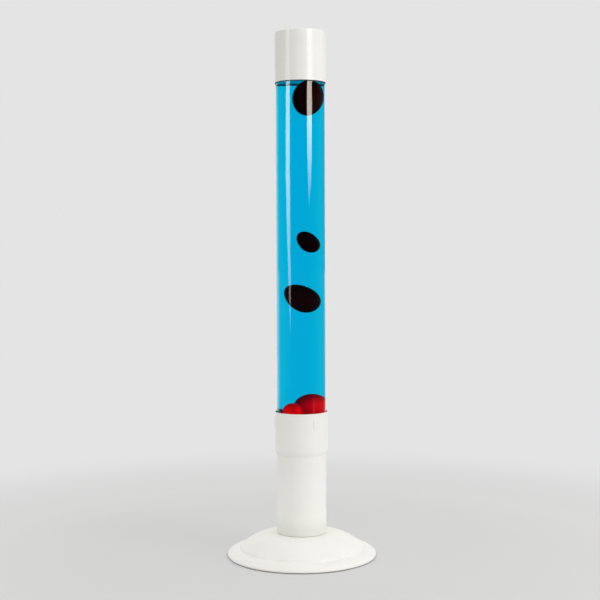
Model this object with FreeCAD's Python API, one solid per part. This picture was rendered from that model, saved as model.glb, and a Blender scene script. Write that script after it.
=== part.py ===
import FreeCAD, Part
import math
import os

# A giant lava lamp that stands on the floor: a weighted saucer base, a stem with the bulb in it,
# a collar that holds the glass bottle, the liquid and wax in the bottle, and a loose cap on top.
# Sizes are in millimetres. Z is up, the floor is z = 0, and the lamp faces -Y.

# Spun dome of the base
BASE_D = 300.0  # across the widest line of the rim
RIM_R = 4.0  # round of the rolled rim
RIM_H = 3.7  # height of the widest line
RIM_GAP = 1.5  # daylight under the rim
BAND_W = 24.5  # band between the rim and the crease
CREASE_H = 15.9  # height of the crease
CREASE_FILLET = 3.0
DOME_H = 46.3  # height of the flat that the stem stands on
DOME_LAND = 2.0  # width of that flat outside the stem
DOME_T = 1.5

# Underside and weight
PAD_N = 6
PAD_D = 18.0
PAD_H = 5.0
PAD_EDGE = 6.0  # from a pad to the edge of the plate
PLATE_T = 1.5
PLATE_INSET = 2.0  # from the plate's edge to the centre of the rim's round
BALLAST_INSET = 39.0  # from the plate's edge to the ballast
BALLAST_T = 18.0
SPACER_D = 22.0

# Threaded tube that clamps the base and the stem together
ROD_D = 10.0
ROD_BORE = 7.0
ROD_TOP = 5.0  # thread inside the lampholder
ROD_CLEAR = 0.2  # round the rod in every hole
NUT_AF = 17.0
NUT_H = 3.0
WASHER_D = 21.0
WASHER_T = 1.0
THREAD_CLEAR = 0.1

# Stem and the bridge welded into it
STEM_D = 100.0
STEM_T = 1.5
STEM_L = 168.0
BRIDGE_RISE = 14.0  # top of the bridge above the foot of the stem
BRIDGE_T = 2.0
BRIDGE_LIP = 10.0
WELD_CLEAR = 0.15

# Collar that the bottle stands in
COLLAR_D = 106.5
COLLAR_T = 1.5
COLLAR_H = 85.0
NECK_DROP = 7.3  # lower edge of the collar below the top of the stem
NECK_EDGE = 0.45  # thickness of that edge
NECK_CLEAR = 0.1
TAPER_H = 6.0
TAPER_FILLET = 4.0
DIMPLE_N = 3
DIMPLE_AZ = 28.6  # first dimple, degrees to the right of the front
DIMPLE_DROP = 22.0  # middle of a dimple below the collar's rim
DIMPLE_L = 18.0
DIMPLE_R = 1.5
DIMPLE_WALL = 1.2
DIMPLE_CLEAR = 0.45  # between a dimple and the glass

# Seat of the bottle
SEAT_T = 2.0
SEAT_BORE = 76.0
SEAT_SKIRT_H = 6.0
SEAT_SKIRT_T = 1.5
SEAT_CLEAR = 0.3
GASKET_T = 3.5
GASKET_W = 7.0
REST_CLEAR = 0.2  # between the gasket and the bottle

# Glass bottle, its stopper and seals
GLASS_D = 98.8
GLASS_T = 3.0
GLASS_L = 815.0
GLASS_FLOOR = 3.5
GLASS_HEEL = 6.0  # round of the lower edge
PLUG_L = 22.0
PLUG_CLEAR = 0.35
FLANGE_T = 4.0
FLANGE_INSET = 0.6
SEAL_D = 3.8  # section of the ring seal
SEAL_UP = 9.0  # middle of the seal above the plug's lower end
SEAL_CLEAR = 0.15
FILLER_D = 16.0
FILLER_HEAD_D = 24.0
FILLER_HEAD_T = 3.0
FILLER_CLEAR = 0.2

# Liquid and wax
FILL_GAP = 0.2  # liquid or wax to glass
WAX_GAP = 0.3  # liquid to wax
POOL_H = 38.0
AIR_H = 10.0
COIL_D = 76.0  # ring of steel wire that spreads the heat
COIL_SECTION = 9.0
COIL_GAP = 0.4
COIL_UP = 1.6  # underside of the ring above the foot of the wax

# Pieces of wax; the tops of the mounds and the middles of the two lower drops are above the bottle's foot
LARGE_X = 16.8
LARGE_Y = 2.0
LARGE_R = 27.0
LARGE_TOP = 104.0
SMALL_X = -12.5
SMALL_Y = -22.0
SMALL_R = 18.0
SMALL_TOP = 88.6
TOP_X = 12.4
TOP_DROP = 83.4  # middle of the top drop below the liquid's surface
TOP_R = 24.5
TOP_HALF = 33.2
MIDDLE_X = 12.5
MIDDLE_Z = 407.5
MIDDLE_R = 16.5
MIDDLE_POINT = 27.5  # from the widest ring to the pointed end
MIDDLE_TILT = 28.0
LOWER_X = 5.6
LOWER_Z = 293.0
LOWER_R = 23.0
LOWER_POINT = 38.7
LOWER_TILT = 40.4

# Cap
CAP_T = 0.9
CAP_H = 99.0
CAP_EDGE = 3.0  # round of the top edge
CAP_CLEAR = 0.35
CAP_REST = 0.3  # between the pad and the stopper
CAP_PAD_T = 9.8
CAP_PAD_W = 16.0

# Lampholder
HOLDER_D = 40.0
HOLDER_H = 52.0
HOLDER_FLOOR = 4.0
HOLDER_WALL = 5.0
CHAMBER_H = 15.0
PARTITION_T = 4.0
SHELL_T = 0.5
SHELL_L = 24.0
SHELL_CLEAR = 0.15
STRIP_T = 1.2  # contact strips
STRIP_W = 5.0
STRIP_LEG = 9.0  # below the partition
STRIP_CLEAR = 0.2
TONGUE_REACH = 4.0  # past the lamp's axis
TONGUE_LIFT = 1.0
TONGUE_Y = 10.0  # outer face of the tongue's leg
SHELL_STRIP_X = 8.5

# Reflector bulb
BULB_D = 80.0
BULB_L = 114.0
BULB_T = 1.0
BULB_NECK_D = 25.0
BULB_NECK_L = 12.0  # straight neck above the screw cap
BULB_FACE_H = 6.0
BULB_RIM_R = 8.0  # round between the flare and the face
BULB_SWELL = 3.0  # how far the flare bulges past a straight cone
BULB_CAP_D = 26.4
BULB_CAP_L = 22.0
BULB_CAP_T = 0.6
BULB_CAP_CLEAR = 0.3  # in the lampholder's shell
BULB_TIP_D = 9.0
BULB_TIP_T = 1.5
BULB_BUTTON_L = 3.0
CONTACT_GAP = 0.3

# Wiring inside the stem
BLOCK_D = 12.0
BLOCK_H = 13.0
BLOCK_INSET = 2.5  # from its back corners to the stem
POLE_N = 3
POLE_PITCH = 10.0
POLE_Z = 6.0  # wire holes above the bridge
POLE_SCREW_D = 4.0
POLE_SCREW_L = 4.5
POLE_CLEAR = 0.3
FIX_D = 3.0
FIX_HEAD_D = 4.4
FIX_HEAD_T = 2.0
FIX_CLEAR = 0.15
LEAD_D = 2.4
LEAD_CLEAR = 0.25
LEAD_IN = 5.0  # length of a lead inside the terminal block
LEAD_Z = 3.0  # lead holes above the lampholder's floor
LEAD_SLACK = 0.8  # straight length outside each hole
TAG_CLEAR = 0.3  # from the barrel to the lampholder, seen from above
TAG_D = 8.0
TAG_T = 0.8
TAG_BARREL_L = 5.0
TAG_BARREL_T = 0.6
EARTH_D = 4.0
EARTH_HEAD_D = 6.6
EARTH_HEAD_T = 2.2

# Cable bush in the back of the stem
BUSH_UP = 24.0  # above the bridge
BUSH_BORE = 7.2
BUSH_D = 12.0
BUSH_FLANGE_D = 17.0
BUSH_FLANGE_T = 2.0
BUSH_CLEAR = 0.2

# Levels and radii that several pieces share
BASE_R = BASE_D / 2
STEM_R = STEM_D / 2
STEM_BORE_R = STEM_R - STEM_T
COLLAR_R = COLLAR_D / 2
COLLAR_BORE_R = COLLAR_R - COLLAR_T
GLASS_R = GLASS_D / 2
GLASS_BORE_R = GLASS_R - GLASS_T
ROD_R = ROD_D / 2
ROD_HOLE_R = ROD_R + ROD_CLEAR
PLATE_R = BASE_R - RIM_R - PLATE_INSET
PLATE_TOP = PAD_H + PLATE_T
BALLAST_R = PLATE_R - BALLAST_INSET
BALLAST_TOP = PLATE_TOP + BALLAST_T
BRIDGE_TOP = DOME_H + BRIDGE_RISE
HOLDER_Z = BRIDGE_TOP + WASHER_T + NUT_H
CHAMBER_Z = HOLDER_Z + HOLDER_FLOOR
PARTITION_Z = CHAMBER_Z + CHAMBER_H
SOCKET_Z = PARTITION_Z + PARTITION_T
HOLDER_TOP = HOLDER_Z + HOLDER_H
TONGUE_TOP = SOCKET_Z + TONGUE_LIFT + STRIP_T
BULB_Z = TONGUE_TOP + CONTACT_GAP
BULB_CAP_Z = BULB_Z + BULB_TIP_T + BULB_BUTTON_L
BULB_CAP_R = BULB_CAP_D / 2
SHELL_R = BULB_CAP_R + BULB_CAP_CLEAR
SOCKET_R = SHELL_R + SHELL_T + SHELL_CLEAR
SHELL_Z = HOLDER_TOP - SHELL_L
STEM_TOP = DOME_H + STEM_L
NECK_Z = STEM_TOP - NECK_DROP
COLLAR_TOP = NECK_Z + COLLAR_H
SEAT_TOP = STEM_TOP + SEAT_T
BOTTLE_Z = SEAT_TOP + GASKET_T + REST_CLEAR
BOTTLE_TOP = BOTTLE_Z + GLASS_L
FILL_Z = BOTTLE_Z + GLASS_FLOOR
POOL_TOP = FILL_Z + POOL_H
PLUG_Z = BOTTLE_TOP - PLUG_L
LIQUID_TOP = PLUG_Z - AIR_H
FLANGE_TOP = BOTTLE_TOP + FLANGE_T
CAP_PAD_Z = FLANGE_TOP + CAP_REST
CAP_ROOF = CAP_PAD_Z + CAP_PAD_T
CAP_TOP = CAP_ROOF + CAP_T
CAP_BORE_R = GLASS_R + CAP_CLEAR
CAP_R = CAP_BORE_R + CAP_T
PLUG_R = GLASS_BORE_R - PLUG_CLEAR
SEAL_Z = PLUG_Z + SEAL_UP
POLE_LEVEL = BRIDGE_TOP + POLE_Z
BLOCK_W = POLE_N * POLE_PITCH
BLOCK_BACK = math.sqrt(STEM_BORE_R**2 - (BLOCK_W / 2) ** 2) - BLOCK_INSET
BLOCK_Y = BLOCK_BACK - BLOCK_D  # face towards the lampholder
LEAD_LEVEL = CHAMBER_Z + LEAD_Z
BARREL_R = LEAD_D / 2 + LEAD_CLEAR + TAG_BARREL_T
TAG_LEVEL = BRIDGE_TOP + BARREL_R
BARREL_Y = math.sqrt((HOLDER_D / 2 + TAG_CLEAR) ** 2 - (POLE_PITCH - BARREL_R) ** 2)
TAG_Y = BARREL_Y - LEAD_CLEAR - EARTH_HEAD_D / 2
SHELL_STRIP_Y = math.sqrt((SHELL_R + SHELL_T / 2) ** 2 - (SHELL_STRIP_X + STRIP_W / 2) ** 2)
UP = FreeCAD.Vector(0, 0, 1)
FRONT = FreeCAD.Vector(0, -1, 0)


def at(x, y, z):
    return FreeCAD.Vector(x, y, z)


def rod(radius, low, high, x=0.0, y=0.0):
    """Upright cylinder between two levels."""
    return Part.makeCylinder(radius, high - low, at(x, y, low))


def tube(outer, inner, low, high, x=0.0, y=0.0):
    return rod(outer, low, high, x, y).cut(rod(inner, low, high, x, y))


def along_y(radius, y_near, y_far, x, z):
    """Cylinder that runs from front to back."""
    return Part.makeCylinder(radius, y_far - y_near, at(x, y_near, z), at(0, 1, 0))


def round_point(centre, radius, angle):
    """Point of a circle in the profile plane, as (r, z); the angle is in radians."""
    return (centre[0] + radius * math.cos(angle), centre[1] + radius * math.sin(angle))


def arc_step(centre, radius, start, end):
    """Arc step of a profile: a point on the way, then the end point."""
    return (round_point(centre, radius, (start + end) / 2), round_point(centre, radius, end))


def turned(start, *steps):
    """Solid of revolution about Z. A step is a point (r, z), or such a pair of points for an arc."""
    edges = []
    here = at(start[0], 0, start[1])
    for step in steps + (start,):
        if isinstance(step[0], tuple):
            way, end = (at(r, 0, z) for r, z in step)
            edges.append(Part.Arc(here, way, end).toShape())
        else:
            end = at(step[0], 0, step[1])
            edges.append(Part.LineSegment(here, end).toShape())
        here = end
    return Part.Face(Part.Wire(edges)).revolve(at(0, 0, 0), UP, 360)


def ring_edge(shape, radius, level):
    """The circular edges of a turned solid at one radius and level."""
    near = 1e-4
    return [
        edge
        for edge in shape.Edges
        if isinstance(edge.Curve, Part.Circle)
        and abs(edge.Curve.Radius - radius) < near
        and abs(edge.Curve.Center.z - level) < near
    ]


def circles_meet(centre, radius, other, other_radius):
    """The meeting point of two circles that lies further from the axis."""
    dr, dz = other[0] - centre[0], other[1] - centre[1]
    apart = math.hypot(dr, dz)
    along = (apart**2 + radius**2 - other_radius**2) / (2 * apart)
    aside = math.sqrt(radius**2 - along**2)
    ways = (
        (centre[0] + (along * dr + sign * aside * dz) / apart,
         centre[1] + (along * dz - sign * aside * dr) / apart)
        for sign in (1, -1)
    )
    return max(ways, key=lambda point: point[1])


def angle_of(point, centre):
    return math.atan2(point[1] - centre[1], point[0] - centre[0])


def polar_copies(shape, count, first=0.0):
    """Copies of a shape turned evenly about the lamp's axis."""
    copies = []
    for i in range(count):
        copy = shape.copy()
        copy.rotate(at(0, 0, 0), UP, first + 360.0 * i / count)
        copies.append(copy)
    return copies


def base_dome():
    """Spun sheet: a flat for the stem, a crown, a crease, a band and a rolled rim."""
    flat_r = STEM_R + DOME_LAND
    crease = (BASE_R - BAND_W, CREASE_H)
    drop, run = DOME_H - CREASE_H, crease[0] - flat_r
    crown_r = (run**2 + drop**2) / (2 * drop)
    crown = (flat_r, DOME_H - crown_r)
    across, down = BAND_W - RIM_R, CREASE_H - RIM_H
    band_r = (down**2 + across**2 - RIM_R**2) / (2 * (down - RIM_R))
    band = (crease[0], CREASE_H - band_r)
    rim = (BASE_R - RIM_R, RIM_H)
    level = math.pi / 2
    join = angle_of(rim, band)
    end = -math.asin((RIM_H - RIM_GAP) / RIM_R)
    inner = circles_meet(crown, crown_r - DOME_T, band, band_r - DOME_T)
    dome = turned(
        (ROD_HOLE_R, DOME_H),
        (flat_r, DOME_H),
        arc_step(crown, crown_r, level, angle_of(crease, crown)),
        arc_step(band, band_r, level, join),
        arc_step(rim, RIM_R, join, end),
        round_point(rim, RIM_R - DOME_T, end),
        arc_step(rim, RIM_R - DOME_T, end, join),
        arc_step(band, band_r - DOME_T, join, angle_of(inner, band)),
        arc_step(crown, crown_r - DOME_T, angle_of(inner, crown), level),
        (ROD_HOLE_R, DOME_H - DOME_T),
    )
    dome = dome.makeFillet(CREASE_FILLET, ring_edge(dome, *crease))
    return dome.makeFillet(CREASE_FILLET + DOME_T, ring_edge(dome, *inner))


def foot_pads():
    pad = rod(PAD_D / 2, 0, PAD_H, PLATE_R - PAD_EDGE - PAD_D / 2)
    return Part.makeCompound(polar_copies(pad, PAD_N))


def base_plate():
    return tube(PLATE_R, ROD_HOLE_R, PAD_H, PLATE_TOP)


def ballast_disc():
    return tube(BALLAST_R, ROD_HOLE_R, PLATE_TOP, BALLAST_TOP)


def spacer_tube():
    return tube(SPACER_D / 2, ROD_HOLE_R, BALLAST_TOP, DOME_H - DOME_T)


def tie_rod():
    low = PAD_H - WASHER_T - NUT_H
    return tube(ROD_R, ROD_BORE / 2, low, CHAMBER_Z + ROD_TOP)


def rod_washers():
    levels = (PAD_H - WASHER_T, BRIDGE_TOP)
    return Part.makeCompound([tube(WASHER_D / 2, ROD_HOLE_R, z, z + WASHER_T) for z in levels])


def rod_nuts():
    corner = NUT_AF / 2 / math.cos(math.pi / 6)
    turns = [math.pi / 3 * i for i in range(7)]
    hexagon = [at(corner * math.cos(t), corner * math.sin(t), 0) for t in turns]
    nut = Part.Face(Part.makePolygon(hexagon)).extrude(UP * NUT_H)
    nut = nut.cut(rod(ROD_R + THREAD_CLEAR, 0, NUT_H))
    levels = (PAD_H - WASHER_T - NUT_H, BRIDGE_TOP + WASHER_T)
    return Part.makeCompound([nut.translated(UP * z) for z in levels])


def stem_tube():
    """Tube with the cable bush's hole in its back."""
    stem = tube(STEM_R, STEM_BORE_R, DOME_H, STEM_TOP)
    return stem.cut(along_y(BUSH_D / 2, 0, STEM_D, 0, BRIDGE_TOP + BUSH_UP))


def fix_places():
    """Where the terminal block's two screws stand, between its poles."""
    middle = BLOCK_Y + BLOCK_D / 2
    return ((-POLE_PITCH / 2, middle), (POLE_PITCH / 2, middle))


def stem_bridge():
    """Pressed disc with a turned-down lip, drilled for the rod and the screws."""
    outer = STEM_BORE_R - WELD_CLEAR
    bridge = rod(outer, BRIDGE_TOP - BRIDGE_LIP, BRIDGE_TOP)
    bridge = bridge.cut(rod(outer - BRIDGE_T, BRIDGE_TOP - BRIDGE_LIP, BRIDGE_TOP - BRIDGE_T))
    low = BRIDGE_TOP - BRIDGE_T
    holes = [rod(ROD_HOLE_R, low, BRIDGE_TOP)]
    holes += [rod(FIX_D / 2 + FIX_CLEAR, low, BRIDGE_TOP, x, y) for x, y in fix_places()]
    holes.append(rod(EARTH_D / 2 + FIX_CLEAR, low, BRIDGE_TOP, POLE_PITCH, TAG_Y))
    return bridge.cut(holes)


def collar():
    """Sleeve drawn in to the stem at its lower edge, with dimples that centre the glass."""
    neck_r = STEM_R + NECK_CLEAR
    taper_top = NECK_Z + TAPER_H
    sleeve = turned(
        (neck_r, NECK_Z),
        (neck_r + NECK_EDGE, NECK_Z),
        (COLLAR_R, taper_top),
        (COLLAR_R, COLLAR_TOP),
        (COLLAR_BORE_R, COLLAR_TOP),
        (COLLAR_BORE_R, taper_top),
        (neck_r, NECK_Z + TAPER_H / 4),
    )
    sleeve = sleeve.makeFillet(TAPER_FILLET, ring_edge(sleeve, COLLAR_R, taper_top))
    middle = COLLAR_TOP - DIMPLE_DROP
    bump_r = DIMPLE_R + DIMPLE_WALL
    place = FRONT * (GLASS_R + DIMPLE_CLEAR + bump_r) + UP * middle
    within = rod(COLLAR_R, NECK_Z, COLLAR_TOP)
    bumps = [bump.common(within) for bump in polar_copies(capsule(bump_r, place), DIMPLE_N, DIMPLE_AZ)]
    return sleeve.fuse(bumps).cut(polar_copies(capsule(DIMPLE_R, place), DIMPLE_N, DIMPLE_AZ))


def capsule(radius, middle):
    """Upright pill: the tool that presses a dimple, or the bump it raises inside."""
    half = DIMPLE_L / 2 - DIMPLE_R
    body = Part.makeCylinder(radius, 2 * half, middle - UP * half)
    ends = [Part.makeSphere(radius, middle + UP * shift) for shift in (-half, half)]
    return body.fuse(ends).removeSplitter()


def seat_ring():
    """Ring on the stem's top edge, with a skirt that centres it in the stem."""
    ring = tube(COLLAR_BORE_R - SEAT_CLEAR, SEAT_BORE / 2, STEM_TOP, SEAT_TOP)
    skirt_r = STEM_BORE_R - SEAT_CLEAR
    return ring.fuse(tube(skirt_r, skirt_r - SEAT_SKIRT_T, STEM_TOP - SEAT_SKIRT_H, STEM_TOP))


def seat_gasket():
    outer = GLASS_R - SEAT_CLEAR
    return tube(outer, outer - GASKET_W, SEAT_TOP, SEAT_TOP + GASKET_T)


def lampholder():
    """Ceramic body: a wiring chamber, a partition with two slots and the bulb's socket."""
    body = rod(HOLDER_D / 2, HOLDER_Z, HOLDER_TOP)
    hollows = [
        rod(ROD_HOLE_R, HOLDER_Z, CHAMBER_Z),
        rod(HOLDER_D / 2 - HOLDER_WALL, CHAMBER_Z, PARTITION_Z),
        rod(SOCKET_R, SOCKET_Z, HOLDER_TOP),
        strip(0.0, TONGUE_Y, PARTITION_Z, SOCKET_Z, STRIP_CLEAR),
        strip(-SHELL_STRIP_X, SHELL_STRIP_Y, PARTITION_Z, SOCKET_Z, STRIP_CLEAR),
    ]
    hole_r = LEAD_D / 2 + LEAD_CLEAR
    hollows += [along_y(hole_r, 0, HOLDER_D, x, LEAD_LEVEL) for x in (-POLE_PITCH, 0.0)]
    return body.cut(hollows)


def strip(x, back, low, high, grow=0.0):
    """Upright contact strip, or with some growth the slot that it passes through."""
    corner = at(x - STRIP_W / 2 - grow, back - STRIP_T - grow, low)
    return Part.makeBox(STRIP_W + 2 * grow, STRIP_T + 2 * grow, high - low, corner)


def centre_contact():
    """Sprung tongue under the bulb's tip, with a leg down into the wiring chamber."""
    corner = at(-STRIP_W / 2, -TONGUE_REACH, TONGUE_TOP - STRIP_T)
    tongue = Part.makeBox(STRIP_W, TONGUE_Y + TONGUE_REACH, STRIP_T, corner)
    leg = strip(0.0, TONGUE_Y, PARTITION_Z - STRIP_LEG, TONGUE_TOP)
    return tongue.fuse(leg).removeSplitter()


def shell_contact():
    """Strip that carries the current up to the socket's shell."""
    return strip(-SHELL_STRIP_X, SHELL_STRIP_Y, PARTITION_Z - STRIP_LEG, SHELL_Z)


def lampholder_shell():
    return tube(SHELL_R + SHELL_T, SHELL_R, SHELL_Z, HOLDER_TOP)


def bulb_envelope():
    """Reflector bulb: a neck that flares to a rounded rim and a slightly domed face."""
    neck_r, face_r = BULB_NECK_D / 2, BULB_D / 2 - BULB_RIM_R
    low = BULB_CAP_Z + BULB_CAP_L / 2
    top = BULB_Z + BULB_L
    neck_top = BULB_CAP_Z + BULB_CAP_L + BULB_NECK_L
    rim = (face_r, top - BULB_FACE_H - BULB_RIM_R)
    swell = (neck_r + BULB_D / 2) / 2 + BULB_SWELL, (neck_top + rim[1]) / 2 - BULB_SWELL
    inner_swell = (swell[0] - BULB_T, swell[1])
    dome_r = (face_r**2 + BULB_FACE_H**2) / (2 * BULB_FACE_H)
    dome, inner_dome = (0, top - dome_r), (0, top - BULB_T - dome_r)
    level, edge = math.pi / 2, math.acos(face_r / dome_r)
    return turned(
        (neck_r, low),
        (neck_r, neck_top),
        (swell, round_point(rim, BULB_RIM_R, 0)),
        arc_step(rim, BULB_RIM_R, 0, level),
        arc_step(dome, dome_r, edge, level),
        (0, top - BULB_T),
        arc_step(inner_dome, dome_r, level, edge),
        arc_step(rim, BULB_RIM_R - BULB_T, level, 0),
        (inner_swell, (neck_r - BULB_T, neck_top)),
        (neck_r - BULB_T, low),
    )


def bulb_cap():
    """Screw shell of the bulb, closed by a lower shoulder; its thread is left plain."""
    inner = BULB_CAP_R - BULB_CAP_T
    top = BULB_CAP_Z + BULB_CAP_L
    return turned(
        (BULB_TIP_D / 2, BULB_CAP_Z),
        (BULB_CAP_R - BULB_BUTTON_L, BULB_CAP_Z),
        (BULB_CAP_R, BULB_CAP_Z + BULB_BUTTON_L),
        (BULB_CAP_R, top),
        (inner, top),
        (inner, BULB_CAP_Z + BULB_BUTTON_L),
        (inner - BULB_BUTTON_L, BULB_CAP_Z + BULB_CAP_T),
        (BULB_TIP_D / 2, BULB_CAP_Z + BULB_CAP_T),
    )


def bulb_insulator():
    """Black glass cone between the screw shell and the tip."""
    shoulder = BULB_CAP_R - BULB_BUTTON_L
    low = BULB_Z + BULB_TIP_T
    return turned((0, low), (BULB_TIP_D / 2, low), (shoulder, BULB_CAP_Z), (0, BULB_CAP_Z))


def bulb_tip():
    return rod(BULB_TIP_D / 2, BULB_Z, BULB_Z + BULB_TIP_T)


def pole_places():
    first = -POLE_PITCH * (POLE_N - 1) / 2
    return [first + POLE_PITCH * i for i in range(POLE_N)]


def terminal_block():
    """Three-pole block: a wire hole and a clamp screw's hole to each pole."""
    block = Part.makeBox(BLOCK_W, BLOCK_D, BLOCK_H, at(-BLOCK_W / 2, BLOCK_Y, BRIDGE_TOP))
    top, middle = BRIDGE_TOP + BLOCK_H, BLOCK_Y + BLOCK_D / 2
    holes = [rod(FIX_D / 2 + FIX_CLEAR, BRIDGE_TOP, top, x, y) for x, y in fix_places()]
    for x in pole_places():
        holes.append(along_y(LEAD_D / 2 + LEAD_CLEAR, BLOCK_Y, BLOCK_Y + BLOCK_D, x, POLE_LEVEL))
        holes.append(rod(POLE_SCREW_D / 2 + FIX_CLEAR, POLE_LEVEL, top, x, middle))
    return block.cut(holes)


def pole_screws():
    low = POLE_LEVEL + LEAD_D / 2 + POLE_CLEAR
    middle = BLOCK_Y + BLOCK_D / 2
    screws = [rod(POLE_SCREW_D / 2, low, low + POLE_SCREW_L, x, middle) for x in pole_places()]
    return Part.makeCompound(screws)


def block_screws():
    top, low = BRIDGE_TOP + BLOCK_H, BRIDGE_TOP - 2 * BRIDGE_T
    screws = []
    for x, y in fix_places():
        head = rod(FIX_HEAD_D / 2, top, top + FIX_HEAD_T, x, y)
        screws.append(rod(FIX_D / 2, low, top, x, y).fuse(head))
    return Part.makeCompound(screws)


def lead(x, far, bend_far, bend_near, near, high, low):
    """Insulated wire in a plane of constant x, from the block at the far end, with one S-bend."""
    run, rise = bend_far - bend_near, low - high
    radius = (run**2 + rise**2) / (4 * abs(rise))
    half = math.atan(abs(rise) / run)
    side = math.copysign(1, rise)
    on_y = radius * math.sin(half)
    on_z = side * radius * (1 - math.cos(half))
    middle = at(x, (bend_far + bend_near) / 2, (high + low) / 2)
    start, end = at(x, bend_far, high), at(x, bend_near, low)
    path = [
        Part.LineSegment(at(x, far, high), start),
        Part.Arc(start, at(x, bend_far - on_y, high + on_z), middle),
        Part.Arc(middle, at(x, bend_near + on_y, low - on_z), end),
        Part.LineSegment(end, at(x, near, low)),
    ]
    wire = Part.Wire([piece.toShape() for piece in path])
    section = Part.Wire(Part.makeCircle(LEAD_D / 2, at(x, far, high), FRONT))
    return wire.makePipeShell([section], True, False)


def holder_lead(x, strip_y):
    """Lead from a pole of the block into the lampholder's wiring chamber."""
    near = math.sqrt((HOLDER_D / 2) ** 2 - x**2) + LEAD_SLACK
    far = BLOCK_Y - LEAD_SLACK
    return lead(x, BLOCK_Y + LEAD_IN, far, near, strip_y + STRIP_CLEAR, POLE_LEVEL, LEAD_LEVEL)


def live_lead():
    return holder_lead(0.0, TONGUE_Y)


def neutral_lead():
    return holder_lead(-POLE_PITCH, SHELL_STRIP_Y)


def earth_lead():
    barrel_end = BARREL_Y + TAG_BARREL_L
    near = barrel_end - TAG_BARREL_L / 2
    return lead(POLE_PITCH, BLOCK_Y + LEAD_IN, BLOCK_Y - LEAD_SLACK, barrel_end, near, POLE_LEVEL, TAG_LEVEL)


def earth_tag():
    """Ring terminal on the bridge, with the barrel that grips the earth lead."""
    ring = rod(TAG_D / 2, BRIDGE_TOP, BRIDGE_TOP + TAG_T, POLE_PITCH, TAG_Y)
    barrel_end = BARREL_Y + TAG_BARREL_L
    barrel = along_y(BARREL_R, BARREL_Y, barrel_end, POLE_PITCH, TAG_LEVEL)
    holes = [
        rod(EARTH_D / 2 + FIX_CLEAR, BRIDGE_TOP, BRIDGE_TOP + TAG_T, POLE_PITCH, TAG_Y),
        along_y(LEAD_D / 2 + LEAD_CLEAR, BARREL_Y, barrel_end, POLE_PITCH, TAG_LEVEL),
    ]
    return ring.fuse(barrel).cut(holes)


def earth_screw():
    top, low = BRIDGE_TOP + TAG_T, BRIDGE_TOP - 2 * BRIDGE_T
    head = rod(EARTH_HEAD_D / 2, top, top + EARTH_HEAD_T, POLE_PITCH, TAG_Y)
    return rod(EARTH_D / 2, low, top, POLE_PITCH, TAG_Y).fuse(head)


def cable_bush():
    """Rubber bush snapped into the stem's back wall."""
    level = BRIDGE_TOP + BUSH_UP
    flange_r = BUSH_FLANGE_D / 2
    inside = math.sqrt(STEM_BORE_R**2 - flange_r**2) - BUSH_CLEAR
    outside = STEM_R + BUSH_CLEAR
    body = along_y(BUSH_D / 2 - BUSH_CLEAR, inside, outside, 0, level)
    flanges = [
        along_y(flange_r, inside - BUSH_FLANGE_T, inside, 0, level),
        along_y(flange_r, outside, outside + BUSH_FLANGE_T, 0, level),
    ]
    bore = along_y(BUSH_BORE / 2, inside - BUSH_FLANGE_T, outside + BUSH_FLANGE_T, 0, level)
    return body.fuse(flanges).cut(bore)


def bottle_space(gap, low, high):
    """Room inside the bottle, drawn in from the glass by a gap, between two levels."""
    heel = GLASS_HEEL - GLASS_T
    radius = GLASS_BORE_R - gap
    floor = FILL_Z + gap
    corner = (radius - heel, floor + heel)
    room = turned(
        (0, floor),
        (corner[0], floor),
        arc_step(corner, heel, -math.pi / 2, 0),
        (radius, high),
        (0, high),
    )
    return room.common(rod(GLASS_R, low, high))


def glass_bottle():
    """Straight glass cylinder with a closed, rounded foot."""
    corner = (GLASS_R - GLASS_HEEL, BOTTLE_Z + GLASS_HEEL)
    outer = turned(
        (0, BOTTLE_Z),
        (corner[0], BOTTLE_Z),
        arc_step(corner, GLASS_HEEL, -math.pi / 2, 0),
        (GLASS_R, BOTTLE_TOP),
        (0, BOTTLE_TOP),
    )
    return outer.cut(bottle_space(0.0, FILL_Z, BOTTLE_TOP))


def bottle_stopper():
    """Flanged plug with a groove for the ring seal and a hole for the filler plug."""
    plug = rod(PLUG_R, PLUG_Z, BOTTLE_TOP).fuse(rod(GLASS_R - FLANGE_INSET, BOTTLE_TOP, FLANGE_TOP))
    half = SEAL_D / 2 + SEAL_CLEAR
    groove = tube(GLASS_R, seal_ring_r() - half, SEAL_Z - half, SEAL_Z + half)
    return plug.cut([groove, rod(FILLER_D / 2 + FILLER_CLEAR, PLUG_Z, FLANGE_TOP)])


def seal_ring_r():
    return GLASS_BORE_R - SEAL_CLEAR - SEAL_D / 2


def stopper_seal():
    return Part.makeTorus(seal_ring_r(), SEAL_D / 2, at(0, 0, SEAL_Z))


def filler_plug():
    head = rod(FILLER_HEAD_D / 2, FLANGE_TOP, FLANGE_TOP + FILLER_HEAD_T)
    return rod(FILLER_D / 2, PLUG_Z, FLANGE_TOP).fuse(head)


def wax_coil(grow=0.0):
    """Wire ring on the bottle's floor that spreads the bulb's heat, as one smooth ring."""
    level = FILL_Z + FILL_GAP + COIL_UP + COIL_SECTION / 2
    return Part.makeTorus(COIL_D / 2, COIL_SECTION / 2 + grow, at(0, 0, level))


def wax_pool():
    return bottle_space(FILL_GAP, FILL_Z, POOL_TOP).cut(wax_coil(COIL_GAP))


def mound(x, y, radius, top, grow=0.0):
    """Wax that swells up from the pool: a round head on a straight flank."""
    wide = radius + grow
    shoulder = BOTTLE_Z + top - radius
    flank = rod(wide, POOL_TOP, shoulder, x, y)
    return flank.fuse(Part.makeSphere(wide, at(x, y, shoulder), UP, 0, 90)).removeSplitter()


def wax_mound_small(grow=0.0):
    return mound(SMALL_X, SMALL_Y, SMALL_R, SMALL_TOP, grow)


def wax_mound_large(grow=0.0):
    whole = mound(LARGE_X, LARGE_Y, LARGE_R, LARGE_TOP, grow)
    return whole.cut(wax_mound_small(WAX_GAP - grow))


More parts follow.
